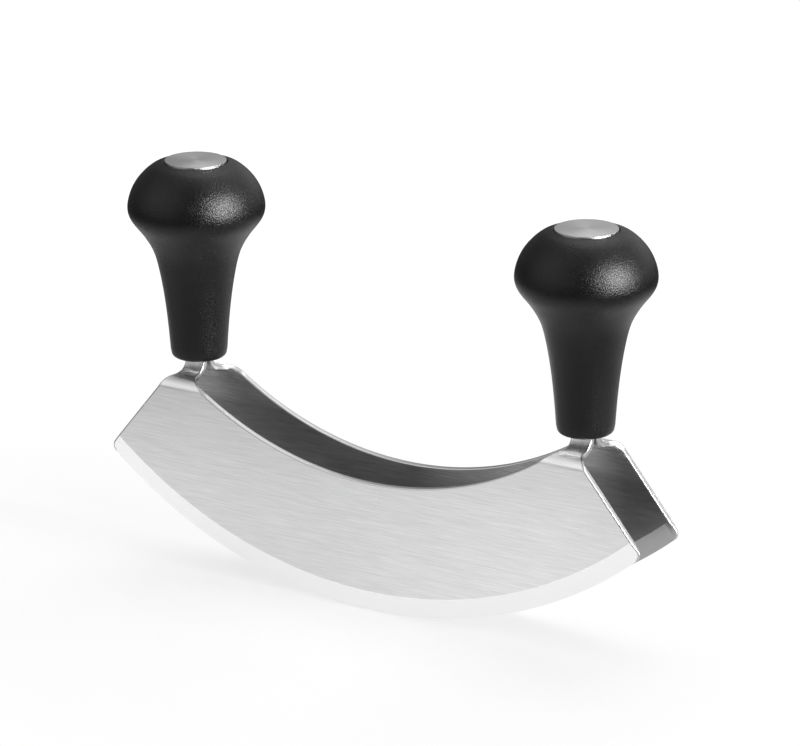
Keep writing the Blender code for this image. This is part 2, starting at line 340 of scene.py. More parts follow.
def spark_grain_group():
    """Grain of a spark-eroded mould: small pits, dots for painted glints and a slow unevenness."""
    inputs = {"Grains per Metre": 2100.0}
    group, start, end = new_group("spark_grain", inputs, ("Height", "Glint Dots", "Unevenness"))
    scaled = add_node(group, "ShaderNodeVectorMath", operation="SCALE")
    feed(group, scaled.inputs[0], start["Place"])
    feed(group, scaled.inputs["Scale"], start["Grains per Metre"])
    grain = noise(group, scaled.outputs[0], scale=1.0, detail=1.0, roughness=0.6)
    glint_dots = noise(group, scaled.outputs[0], scale=1.9, detail=1.0, roughness=0.6)
    uneven = noise(group, start["Place"], scale=60.0, detail=2.0)
    feed(group, end["Height"], spread(group, grain, (0.3, 0.7)))
    feed(group, end["Glint Dots"], spread(group, glint_dots, (0.56, 0.74)))
    feed(group, end["Unevenness"], uneven)


def place_group(tree, name, values):
    """Node group set into a material, reading the object's own coordinates."""
    node = add_node(tree, "ShaderNodeGroup", node_tree=bpy.data.node_groups[name])
    feed(tree, node.inputs["Place"], object_place(tree))
    for key, value in values.items():
        node.inputs[key].default_value = value
    return node.outputs


# Finishes

def new_material(name):
    """Empty material, its tree and its shader."""
    material = bpy.data.materials.new(name)
    material.use_nodes = True
    tree = material.node_tree
    return material, tree, tree.nodes["Principled BSDF"]


def add_bump(tree, shader, height, distance):
    """Fine relief from a height in a shader's normal."""
    bump = add_node(tree, "ShaderNodeBump", {"Strength": 1.0, "Distance": distance})
    feed(tree, bump.inputs["Height"], height)
    feed(tree, shader.inputs["Normal"], bump.outputs["Normal"])


def painted_sheen(tree, middle, reach, gain):
    """Painted sheen: how much paler the steel gets towards one place along the blade."""
    along = axis_part(tree, object_place(tree), "X")
    away = math_node(tree, "ABSOLUTE", math_node(tree, "SUBTRACT", along, middle))
    return spread(tree, away, (0.0, reach), (gain, 1.0))


def ground_steel(
    name, colour, roughness, lines, relief, contrast, anisotropy=0.6, bent_finish_and_sheen=None, sheen_place=None
):
    """Steel with lengthwise grind lines in its colour, roughness and relief.

    bent_finish_and_sheen is the heights where the bend starts and ends, and the roughness above it.
    sheen_place is a painted sheen along the blade: its middle, its reach and how much paler it is.
    """
    material, tree, shader = new_material(name)
    shader.inputs["Metallic"].default_value = 1.0
    shader.inputs["Anisotropic"].default_value = anisotropy
    shader.inputs["Anisotropic Rotation"].default_value = 0.25
    ground = place_group(tree, "grind_lines", {"Lines per Metre": lines})
    broad = math_node(tree, "MULTIPLY", ground["Broad"], broad_share)
    blend = math_node(tree, "ADD", ground["Fine"], broad)
    low = (*(channel * (1 - contrast) for channel in colour), 1)
    high = (*(min(channel * (1 + contrast), 1) for channel in colour), 1)
    shade = mix_colour(tree, spread(tree, blend, line_range), low, high)
    rough_range = [roughness * share for share in cloud_roughness]
    rough = spread(tree, ground["Clouds"], cloud_range, rough_range)
    # Above the bend: more roughness, and a streaky mottle that also paints a paler sheen
    if bent_finish_and_sheen:
        lowest, full, bent_roughness = bent_finish_and_sheen
        bent = place_group(tree, "bent_sheet", {"Lowest": lowest, "Full": full})
        bent_rough = math_node(tree, "MULTIPLY", bent["Bent"], bent_roughness)
        rough = math_node(tree, "MAXIMUM", rough, bent_rough)
        shade = tinted(tree, shade, bent["Mottle and Sheen"])
    # Painted sheen: the colour gets paler towards one place along the blade
    if sheen_place:
        shade = tinted(tree, shade, painted_sheen(tree, *sheen_place))
    feed(tree, shader.inputs["Base Color"], shade)
    feed(tree, shader.inputs["Roughness"], rough)
    add_bump(tree, shader, blend, relief)
    return material


# Mesh helpers

def new_object(name, shape):
    """Object made from a bmesh and put in the scene."""
    mesh = bpy.data.meshes.new(name)
    shape.to_mesh(mesh)
    shape.free()
    made = bpy.data.objects.new(name, mesh)
    bpy.context.scene.collection.objects.link(made)
    return made


def add_piece(name, shape, materials, node):
    """Piece made from a bmesh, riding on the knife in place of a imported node."""
    piece = new_object(name, shape)
    for material in materials:
        piece.data.materials.append(material)
    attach(piece, "root")
    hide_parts(node)
    return piece


def apply_modifiers(piece):
    """Piece's mesh as its modifiers leave it, with none left live."""
    state = bpy.context.evaluated_depsgraph_get()
    mesh = bpy.data.meshes.new_from_object(piece.evaluated_get(state), depsgraph=state)
    piece.modifiers.clear()
    piece.data = mesh


def cut_with(piece, shape):
    """Cut a closed shape out of a piece."""
    cutter = new_object("cutter", shape)
    cut = piece.modifiers.new("cut", "BOOLEAN")
    cut.operation = "DIFFERENCE"
    cut.object = cutter
    apply_modifiers(piece)
    bpy.data.objects.remove(cutter)


def smooth_through(stations, steps):
    """Curve through the stations with no jump in its curvature, each span in equal steps."""
    ways = [stations[1] - stations[0]]
    ways += [(after - before) / 2 for before, after in zip(stations[:-2], stations[2:])]
    ways.append(stations[-1] - stations[-2])
    for _ in range(settling_rounds):
        for i in range(1, len(ways) - 1):
            ways[i] = (3 * (stations[i + 1] - stations[i - 1]) - ways[i - 1] - ways[i + 1]) / 4
    points = []
    for i in range(len(stations) - 1):
        leave = stations[i] + ways[i] / 3
        arrive = stations[i + 1] - ways[i + 1] / 3
        points += interpolate_bezier(stations[i], leave, arrive, stations[i + 1], steps + 1)[:-1]
    return points + [stations[-1]]


def quarter(centre_x, centre_y, radius, start, steps):
    """Quarter of a circle in the profile plane, turning clockwise from a starting angle."""
    angles = [math.radians(start - 90 * i / steps) for i in range(steps + 1)]
    return [(centre_x + radius * math.cos(a), centre_y + radius * math.sin(a)) for a in angles]


def turned_shape(profile, axis_place, steps):
    """Solid turned round a vertical axis from a profile of radius and height."""
    shape = bmesh.new()
    centre = Vector((axis_place.x, axis_place.y, 0))
    corners = [shape.verts.new(centre + Vector((radius, 0, height))) for radius, height in profile]
    rim = [shape.edges.new(pair) for pair in zip(corners[:-1], corners[1:])]
    bmesh.ops.spin(
        shape, geom=corners + rim, cent=centre, axis=(0, 0, 1), angle=math.radians(360),
        steps=steps, use_merge=True, use_duplicate=False,
    )
    bmesh.ops.remove_doubles(shape, verts=shape.verts, dist=weld_distance)
    bmesh.ops.recalc_face_normals(shape, faces=shape.faces)
    return shape


def smooth_by_angle(piece, angle):
    """Round faces shaded smooth, corners sharper than an angle kept."""
    piece.data.shade_smooth()
    piece.data.set_sharp_from_angle(angle=angle)


def radius_of(box):
    """Radius of an upright round node, from its box."""
    low, high = box
    return (high.y - low.y) / 2


# Settings

class BladeSettings(bpy.types.PropertyGroup):
    """Colours, sheet edges and grind lines of the blades"""

    face_colour: bpy.props.FloatVectorProperty(
        name="Face Colour", description="Steel between bevel and back", subtype="COLOR",
        size=3, default=(0.70, 0.70, 0.705), min=0, max=1,
    )
    bevel_colour: bpy.props.FloatVectorProperty(
        name="Bevel Colour", description="Polished steel of the ground bevel", subtype="COLOR",
        size=3, default=(0.92, 0.92, 0.92), min=0, max=1,
    )
    # Inner colours: darker copies of the face and bevel steel, painted shade between the two blades
    inner_shaded_colour: bpy.props.FloatVectorProperty(
        name="Inner Face Colour", description="Duller steel between the two blades",
        subtype="COLOR", size=3, default=(0.33, 0.33, 0.333), min=0, max=1,
    )
    inner_bevel_shaded_colour: bpy.props.FloatVectorProperty(
        name="Inner Bevel Colour", description="Ground bevel between the two blades",
        subtype="COLOR", size=3, default=(0.38, 0.38, 0.38), min=0, max=1,
    )
    rim_colour: bpy.props.FloatVectorProperty(
        name="Rim Colour", description="Tumbled steel of the sheet edges", subtype="COLOR",
        size=3, default=(0.52, 0.52, 0.52), min=0, max=1,
    )
    edge_rounding: bpy.props.FloatProperty(
        name="Edge Rounding", description="Radius of the tumbled sheet edges",
        default=0.0006, unit="LENGTH",
    )
    line_count: bpy.props.FloatProperty(
        name="Grind Lines", description="Grind lines in a metre of height", default=3600.0,
    )


class HandleSettings(bpy.types.PropertyGroup):
    """Colour, grain and small sizes of the handles"""

    colour: bpy.props.FloatVectorProperty(
        name="Colour", description="Moulded plastic", subtype="COLOR",
        size=3, default=(0.0025, 0.0025, 0.0026), min=0, max=1,
    )
    roughness: bpy.props.FloatProperty(
        name="Roughness", description="Roughness of the moulded grain",
        default=0.33, subtype="FACTOR",
    )
    gloss: bpy.props.FloatProperty(
        name="Gloss", description="Level of the plastic's mirror shine",
        default=0.24, subtype="FACTOR",
    )
    grain_count: bpy.props.FloatProperty(
        name="Grain", description="Grains in a metre", default=2100.0,
    )
    grain_depth: bpy.props.FloatProperty(
        name="Grain Depth", description="Depth of the moulded grain",
        default=0.00007, unit="LENGTH",
    )
    bottom_rounding: bpy.props.FloatProperty(
        name="Bottom Rounding", description="Radius of the lower edge",
        default=0.0020, unit="LENGTH",
    )
    lip_rounding: bpy.props.FloatProperty(
        name="Lip Rounding", description="Radius of the lip round the cap",
        default=0.0003, unit="LENGTH",
    )
    cap_lip: bpy.props.FloatProperty(
        name="Cap Lip", description="Width of the flat lip round the cap",
        default=0.0004, unit="LENGTH",
    )
    lip_drop: bpy.props.FloatProperty(
        name="Lip Drop", description="How far the lip lies below the solid's top",
        default=0.0003, unit="LENGTH",
    )
    gap: bpy.props.FloatProperty(
        name="Gap", description="Clearance to the pieces inside", default=0.0003, unit="LENGTH",
    )


class CapSettings(bpy.types.PropertyGroup):
    """Colours and small sizes of the end caps"""

    colour: bpy.props.FloatVectorProperty(
        name="Colour", description="Satin steel", subtype="COLOR",
        size=3, default=(0.59, 0.59, 0.595), min=0, max=1,
    )
    rim_colour: bpy.props.FloatVectorProperty(
        name="Rim Colour", description="Tumbled steel of the disc's rim", subtype="COLOR",
        size=3, default=(0.26, 0.26, 0.26), min=0, max=1,
    )
    rim_rounding: bpy.props.FloatProperty(
        name="Rim Rounding", description="Radius of the disc's rim",
        default=0.00025, unit="LENGTH",
    )
    disc_thickness: bpy.props.FloatProperty(
        name="Disc Thickness", description="Thickness of the disc above its spigot",
        default=0.0015, unit="LENGTH",
    )


class StageSettings(bpy.types.PropertyGroup):
    """Camera and light of the studio"""

    camera_place: bpy.props.FloatVectorProperty(
        name="Camera Place", description="Where the camera stands", subtype="TRANSLATION",
        unit="LENGTH", size=3, default=(0.99005, -1.49272, 0.66728),
    )
    camera_azimuth: bpy.props.FloatProperty(
        name="Azimuth", description="Turn of the view round Z", subtype="ANGLE",
        unit="ROTATION", default=math.radians(33.414),
    )
    camera_elevation: bpy.props.FloatProperty(
        name="Elevation", description="Height angle of the view", subtype="ANGLE",
        unit="ROTATION", default=math.radians(17.959),
    )
    camera_roll: bpy.props.FloatProperty(
        name="Roll", description="Turn of the view round its own line", subtype="ANGLE",
        unit="ROTATION", default=math.radians(-0.404),
    )
    camera_lens: bpy.props.FloatProperty(
        name="Lens", description="Focal length in millimetres on a 36 mm sensor", default=234.97,
    )
    ambient: bpy.props.FloatProperty(
        name="Ambient", description="Strength of the light from all round", default=0.56,
    )
    mirrored: bpy.props.FloatProperty(
        name="Mirrored", description="Level of the dim studio between its white cards",
        default=0.18,
    )


# Stage

def add_softbox(name, place, width, power):
    """Square lamp that faces the knife."""
    lamp = bpy.data.lights.new(name, "AREA")
    lamp.shape = "RECTANGLE"
    lamp.size = width
    lamp.size_y = width
    lamp.energy = power
    box = bpy.data.objects.new(name, lamp)
    bpy.context.scene.collection.objects.link(box)
    box.location = place
    aim = Vector(lamp_target) - Vector(place)
    box.rotation_euler = aim.to_track_quat("-Z", "Y").to_euler()


class KNIFE_OT_stage(bpy.types.Operator):
    """Lay the pale floor, hang the soft lamps and set the camera"""

    bl_idname = "knife.stage"
    bl_label = "Stage"

    def execute(self, context):
        settings = context.scene.knife_stage
        self.set_camera(context, settings)
        self.set_surroundings(context, settings)
        self.lay_floor()
        for lamp in LAMPS:
            add_softbox(*lamp)
        context.scene.view_settings.view_transform = "Standard"
        return {"FINISHED"}

    def set_camera(self, context, settings):
        """Camera at the viewing angle of the photograph."""
        azimuth = settings.camera_azimuth
        elevation = settings.camera_elevation
        right = Vector((math.cos(azimuth), math.sin(azimuth), 0))
        forward = Vector((
            -math.sin(azimuth) * math.cos(elevation),
            math.cos(azimuth) * math.cos(elevation),
            -math.sin(elevation),
        ))
        up = right.cross(forward)
        turn = Matrix.Rotation(-settings.camera_roll, 3, forward)
        axes = Matrix((turn @ right, turn @ up, -forward)).transposed()
        camera = bpy.data.objects.new("camera", bpy.data.cameras.new("camera"))
        camera.data.lens = settings.camera_lens
        camera.data.clip_start = 0.1
        camera.data.clip_end = 50
        camera.matrix_world = Matrix.Translation(settings.camera_place) @ axes.to_4x4()
        context.scene.collection.objects.link(camera)
        context.scene.camera = camera

    def set_surroundings(self, context, settings):
        """White for the camera, dim with white cards for reflections, even for light."""
        world = bpy.data.worlds.new("studio")
        context.scene.world = world
        world.use_nodes = True
        tree = world.node_tree
        back = tree.nodes["Background"]
        back.inputs["Color"].default_value = (1, 1, 1, 1)
        path = add_node(tree, "ShaderNodeLightPath").outputs
        shown = math_node(tree, "MAXIMUM", path["Is Glossy Ray"], path["Is Transmission Ray"])
        reflected = settings.mirrored
        for card in CARDS:
            reflected = math_node(tree, "ADD", self.hang_card(tree, *card), reflected)
        strength = either(tree, shown, reflected, settings.ambient)
        strength = either(tree, path["Is Camera Ray"], 1.0, strength)
        feed(tree, back.inputs["Strength"], strength)

    def hang_card(self, tree, direction, filled, end, level):
        """Soft white card in the surroundings, full in its middle and gone at its end angle."""
        around = add_node(tree, "ShaderNodeTexCoord").outputs["Generated"]
        middle = Vector(direction).normalized()
        closeness = vector_node(tree, "DOT_PRODUCT", around, middle)["Value"]
        fade = [math.cos(math.radians(angle)) for angle in (end, filled)]
        return spread(tree, closeness, fade, (0.0, level))

    def lay_floor(self):
        """Pale floor that keeps the knife's shadow and turns into the white background."""
        shape = bmesh.new()
        level = Matrix.Translation((0, 0, -floor_drop))
        bmesh.ops.create_grid(shape, x_segments=1, y_segments=1, size=floor_reach, matrix=level)
        floor = new_object("floor", shape)
        floor.data.materials.append(self.floor_finish())

    def floor_finish(self):
        """White for the camera, dark but for its pools in reflections, and pale for light."""
        material, tree, shader = new_material("floor")
        shader.inputs["Roughness"].default_value = 1.0
        shader.inputs["Specular IOR Level"].default_value = 0.0
        shader.inputs["Emission Color"].default_value = (1, 1, 1, 1)
        path = add_node(tree, "ShaderNodeLightPath").outputs
        pool = self.pool_of_light(tree)
        mirrored_tone = math_node(tree, "MULTIPLY", pool, pool_tone)
        mirrored_glow = math_node(tree, "MULTIPLY", pool, pool_glow)
        tone = either(tree, path["Is Glossy Ray"], mirrored_tone, lit_tone)
        tone = either(tree, path["Is Camera Ray"], shown_tone, tone)
        glow = either(tree, path["Is Glossy Ray"], mirrored_glow, 0.0)
        glow = either(tree, path["Is Camera Ray"], self.white_level(tree), glow)
        feed(tree, shader.inputs["Base Color"], tone)
        feed(tree, shader.inputs["Emission Strength"], glow)
        return material

    def white_level(self, tree):
        """Glow that keeps the floor white for the camera, more where the lamps reach it less."""
        away = vector_node(tree, "LENGTH", object_place(tree))["Value"]
        return spread(tree, away, white_distances, white_levels)

    def pool_of_light(self, tree):
        """How bright the floor is where metal and plastic mirror it, on both sides of the knife."""
        folded = vector_node(tree, "ABSOLUTE", object_place(tree))["Vector"]
        shaped = vector_node(tree, "MULTIPLY", folded, pool_shape)["Vector"]
        away = vector_node(tree, "DISTANCE", shaped, (0, pool_distance, 0))["Value"]
        return spread(tree, away, pool_fade, pool_levels)


# Blades: lines and circles of the flat blank, X along the blade and Y up

up_way = Vector((0, 1))
cut_way = Vector((-math.cos(end_cut_angle), math.sin(end_cut_angle)))
blade_plane = (width_over_blades - sheet_thickness) / 2
tang_plane = (tang_gap + sheet_thickness) / 2
handle_x = chord_length / 2 - handle_inset
tang_inner_x = handle_x - tang_width / 2
tang_outer_x = handle_x + tang_width / 2
edge_centre = Vector((0, edge_radius))
back_centre = Vector((0, blade_height + back_radius))
edge_sweep = math.asin(chord_length / 2 / edge_radius)
corner = edge_centre + edge_radius * Vector((math.sin(edge_sweep), -math.cos(edge_sweep)))

# Circle along which the ground bevel starts, and how fast the bevel thins the sheet
bevel_end = corner + (edge_centre - corner).normalized() * bevel_width_end
bevel_centre = Vector((
    0, (bevel_end.length_squared - bevel_width_middle**2) / (2 * (bevel_end.y - bevel_width_middle))
))
bevel_radius = bevel_centre.y - bevel_width_middle
bevel_slope = (sheet_thickness - edge_land) / 2 / bevel_width_middle


def arc_points(centre, radius, start, end, steps):
    """Points along an arc from one angle to another, both ends included."""
    angles = [start + (end - start) * i / steps for i in range(steps + 1)]
    return [centre + radius * Vector((math.cos(a), math.sin(a))) for a in angles]


def round_corner(point, way_in, way_out, radius):
    """Arc that rounds a corner whose two sides leave it along way_in and way_out."""
    half = way_in.angle(way_out) / 2
    centre = point + (way_in + way_out).normalized() * radius / math.sin(half)
    first = point + way_in * radius / math.tan(half) - centre
    last = point + way_out * radius / math.tan(half) - centre
    start = math.atan2(first.y, first.x)
    sweep = math.atan2(first.cross(last), first.dot(last))
    return arc_points(centre, radius, start, start + sweep, corner_steps)


def neck_outer_arc():
    """Height where the end cut meets the tang's outer side, and the rounding between them."""
    rise = (corner.x - tang_outer_x) * math.tan(end_cut_angle)
    point = Vector((tang_outer_x, corner.y + rise))
    return point.y, round_corner(point, -cut_way, up_way, neck_outer_radius)


def neck_inner_arc():
    """Height and angle where the tang's inner side meets the back, and the rounding between."""
    reach = back_radius - neck_inner_radius
    centre_x = tang_inner_x - neck_inner_radius
    centre = Vector((centre_x, back_centre.y - math.sqrt(reach**2 - centre_x**2)))
    way = centre - back_centre
    angle = math.atan2(way.y, way.x)
    crossing = back_centre.y - math.sqrt(back_radius**2 - tang_inner_x**2)
    return crossing, angle, arc_points(centre, neck_inner_radius, 0, angle, corner_steps)


# Where the bends and the shoulder between them lie along the blank
outer_crossing, outer_arc = neck_outer_arc()
inner_crossing, back_angle, inner_arc = neck_inner_arc()
lower_run = lower_bend_radius * shoulder_angle
upper_run = upper_bend_radius * shoulder_angle
bend_offset = (lower_bend_radius + upper_bend_radius) * (1 - math.cos(shoulder_angle))
shoulder_run = (blade_plane - tang_plane - bend_offset) / math.sin(shoulder_angle)
bend_start = max(outer_crossing, inner_crossing) - bend_drop
shoulder_start = bend_start + lower_run
shoulder_end = shoulder_start + shoulder_run
bend_end = shoulder_end + upper_run


def bent_place(along, outward):
    """Where a point of the flat blank goes when the tang is bent: inward shift and height."""
    flat_part = min(along, bend_start)
    lower_turn = min(max(along - bend_start, 0) / lower_bend_radius, shoulder_angle)
    run = min(max(along - shoulder_start, 0), shoulder_run)
    upper_turn = min(max(along - shoulder_end, 0) / upper_bend_radius, shoulder_angle)
    tang_part = max(along - bend_end, 0)
    turn = lower_turn - upper_turn
    inward = lower_bend_radius * (1 - math.cos(lower_turn)) + run * math.sin(shoulder_angle)
    height = flat_part + lower_bend_radius * math.sin(lower_turn) + run * math.cos(shoulder_angle)
    if upper_turn > 0:
        inward += upper_bend_radius * (math.cos(turn) - math.cos(shoulder_angle))
        height += upper_bend_radius * (math.sin(shoulder_angle) - math.sin(turn)) + tang_part
    return inward - outward * math.cos(turn), height + outward * math.sin(turn)


def beyond_bevel_line(place):
    """How far a place of the blank lies outside the line where the bevel starts."""
    return (place - bevel_centre).length - bevel_radius


def half_thickness(place):
    """Half the sheet's thickness at a place of the blank, thinned by the ground bevel."""
    full = sheet_thickness / 2
    return min(full, full - beyond_bevel_line(place) * bevel_slope)


def on_cutting_edge(vertex):
    """Whether a point of the blank lies on the cutting edge."""
    return abs((vertex.co.xy - edge_centre).length - edge_radius) < weld_distance


def mirrored(points):
    """The same points on the left half, in reverse order."""
    return [Vector((-point.x, point.y)) for point in reversed(points)]


def blank_loops(tang_top):
    """Cutting edge, end corner, bevel line and the outline above the bevel."""
    edge_way = Vector((-math.cos(edge_sweep), -math.sin(edge_sweep)))
    corner_arc = round_corner(corner, edge_way, cut_way, corner_radius)
    edge_end = edge_sweep - (corner_arc[0] - corner).length / edge_radius
    down = math.radians(-90)
    edge = arc_points(edge_centre, edge_radius, down - edge_end, down + edge_end, edge_steps)
    start = corner - bevel_centre
    along = -start.dot(cut_way)
    reach = math.sqrt(along**2 - start.length_squared + bevel_radius**2)
    crossing = corner + cut_way * (along - reach)
    turn = math.atan2(crossing.x, bevel_centre.y - crossing.y)
    line = arc_points(bevel_centre, bevel_radius, down - turn, down + turn, edge_steps)
    outer_top = Vector((tang_outer_x, tang_top))
    inner_top = Vector((tang_inner_x, tang_top))
    left_way = Vector((-1, 0))
    tang_end = round_corner(outer_top, -up_way, left_way, tang_corner_radius)
    tang_end += round_corner(inner_top, -left_way, -up_way, tang_corner_radius)
    half_facet = (back_angle - down) / (2 * back_steps + 1)
    back = arc_points(back_centre, back_radius, back_angle, down + half_facet, back_steps)
    half = outer_arc + tang_end + inner_arc[:-1] + back
    return edge, corner_arc[1:], line, half + mirrored(half)


class KNIFE_OT_blades(bpy.types.Operator):
    """Cut, round, grind and bend both blades, and give them ground and polished steel"""

    bl_idname = "knife.blades"
    bl_label = "Blades"

    def execute(self, context):
        settings = context.scene.knife_blades
        finishes = self.blade_steels(settings)
        for node, turn in zip(BLADES, (0, math.radians(180))):
            tang_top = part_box(node)[1].z
            shape = self.cut_blank(bend_end + tang_top - bent_place(bend_end, 0)[1])
            self.round_edges(shape, settings.edge_rounding)
            self.grind(shape)
            self.bend(shape)
            bmesh.ops.rotate(shape, verts=shape.verts, matrix=Matrix.Rotation(turn, 3, "Z"))
            bmesh.ops.recalc_face_normals(shape, faces=shape.faces)
            piece = add_piece(f"{node}_sheet", shape, finishes, node)
            self.drill_tangs(piece, context.scene.knife_handles.gap)
            self.shade(piece)
        return {"FINISHED"}

    def blade_steels(self, settings):
        """Finishes of the blade, in the order of FACE, BEVEL, RIM, INNER_FACE and INNER_BEVEL."""
        lines = settings.line_count
        return (
            ground_steel(
                "blade_face", settings.face_colour, roughness=0.30, lines=lines,
                relief=0.000007, contrast=0.09,
                # painted sheen on the front face, paler round x = 0.075
                bent_finish_and_sheen=(0.0690, 0.0725, 0.50), sheen_place=(0.075, 0.090, 1.12),
            ),
            ground_steel(
                "blade_bevel", settings.bevel_colour, roughness=0.22, lines=lines,
                relief=0.000003, contrast=0.01,
            ),
            ground_steel(
                "blade_rim", settings.rim_colour, roughness=0.36, lines=lines,
                relief=0.000004, contrast=0.02, anisotropy=0.0,
            ),
            # painted shade: the inner face is darker than the front face, for the shade between the
            # blades
            ground_steel(
                "blade_inner_face_shaded", settings.inner_shaded_colour, roughness=0.32, lines=lines,
                relief=0.000010, contrast=0.24, anisotropy=0.8,
                # painted sheen on the inner face, much paler round x = 0.048
                bent_finish_and_sheen=(0.050, 0.067, 0.56), sheen_place=(0.048, 0.045, 2.3),
            ),
            # painted shade: the inner bevel is a darker copy of the polished bevel, for the shade
            # between
            ground_steel(
                "blade_inner_bevel_shaded", settings.inner_bevel_shaded_colour, roughness=0.22, lines=lines,
                relief=0.000003, contrast=0.01,
            ),
        )

    def cut_blank(self, tang_top):
        """Flat blank as thick as the sheet, split along the line where the bevel starts."""
        edge, end_arc, line, outline = blank_loops(tang_top)
        shape = bmesh.new()
        edge_row, line_row, top_row, right_arc, left_arc = (
            [shape.verts.new((point.x, point.y, -sheet_thickness / 2)) for point in points]
            for points in (edge, line, outline, end_arc, mirrored(end_arc))
        )
        chains = []
        for row in (edge_row, line_row):
            chains += [shape.edges.new(pair) for pair in zip(row[:-1], row[1:])]
        bmesh.ops.bridge_loops(shape, edges=chains)
        shape.faces.new([line_row[-1], edge_row[-1]] + right_arc)
        shape.faces.new([edge_row[0], line_row[0]] + left_arc)
        shape.faces.new(line_row + top_row)
        bmesh.ops.recalc_face_normals(shape, faces=shape.faces)
        raised = bmesh.ops.extrude_face_region(shape, geom=shape.faces[:])["geom"]
        raised_corners = [part for part in raised if isinstance(part, bmesh.types.BMVert)]
        bmesh.ops.translate(shape, verts=raised_corners, vec=(0, 0, sheet_thickness))
        bmesh.ops.recalc_face_normals(shape, faces=shape.faces)
        return shape

    def round_edges(self, shape, rounding):
        """Tumbled rounding of every sheet edge but the cutting edge."""
        for face in shape.faces:
            in_bevel = beyond_bevel_line(face.calc_center_median().xy) > 0
            if abs(face.normal.z) < flat_side:
                face.material_index = RIM
            elif face.normal.z > 0:
                face.material_index = BEVEL if in_bevel else FACE
            else:
                face.material_index = INNER_BEVEL if in_bevel else INNER_FACE
        sharp = [
            edge for edge in shape.edges
            if edge.calc_face_angle(0) > blank_corner
            and abs(edge.verts[0].co.z - edge.verts[1].co.z) < weld_distance
            and not all(on_cutting_edge(end) for end in edge.verts)
        ]
        done = bmesh.ops.bevel(
            shape, geom=sharp, offset=rounding, offset_type="OFFSET", segments=tumbled_steps,
            profile=0.5, affect="EDGES", clamp_overlap=False, material=-1,
        )
        for face in done["faces"]:
            face.material_index = RIM

    def grind(self, shape):
        """Thin the sheet towards the cutting edge on both sides."""
        for vertex in shape.verts:
            vertex.co.z *= half_thickness(vertex.co.xy) * 2 / sheet_thickness

    def bend(self, shape):
        """Bend both tangs inward over the shoulder and up again, and stand the blade up."""
        for start, run in ((bend_start, lower_run), (shoulder_end, upper_run)):
            for i in range(bend_steps + 1):
                level = Vector((0, start + run * i / bend_steps, 0))
                everything = shape.verts[:] + shape.edges[:] + shape.faces[:]
                bmesh.ops.bisect_plane(
                    shape, geom=everything, dist=weld_distance, plane_co=level, plane_no=(0, 1, 0)
                )
        for vertex in shape.verts:
            inward, height = bent_place(vertex.co.y, vertex.co.z)
            vertex.co = (vertex.co.x, inward - blade_plane, height)

    def drill_tangs(self, piece, gap):
        """Rivet holes through both tangs."""
        shape = bmesh.new()
        for side in SIDES:
            for level in ("lower", "upper"):
                low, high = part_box(f"{side}_{level}_rivet")
                radius = (high.z - low.z) / 2 + gap
                lying = Matrix.Rotation(math.radians(90), 4, "X")
                bmesh.ops.create_cone(
                    shape, cap_ends=True, segments=hole_steps, radius1=radius, radius2=radius,
                    depth=high.y - low.y + 2 * overrun,
                    matrix=Matrix.Translation((low + high) / 2) @ lying,
                )
        cut_with(piece, shape)

    def shade(self, piece):
        """Smooth steel with a crisp bevel line and cutting edge."""
        shape = bmesh.new()
        shape.from_mesh(piece.data)
        for face in shape.faces:
            face.smooth = True
        for edge in shape.edges:
            kinds = {face.material_index for face in edge.link_faces}
            ground_line = kinds in ({FACE, BEVEL}, {INNER_FACE, INNER_BEVEL})
            edge.smooth = not ground_line and edge.calc_face_angle(0) < blade_crease
        shape.to_mesh(piece.data)
        shape.free()
        weighted = piece.modifiers.new("weighted", "WEIGHTED_NORMAL")
        weighted.keep_sharp = True
        weighted.weight = 100
        apply_modifiers(piece)


# Handles

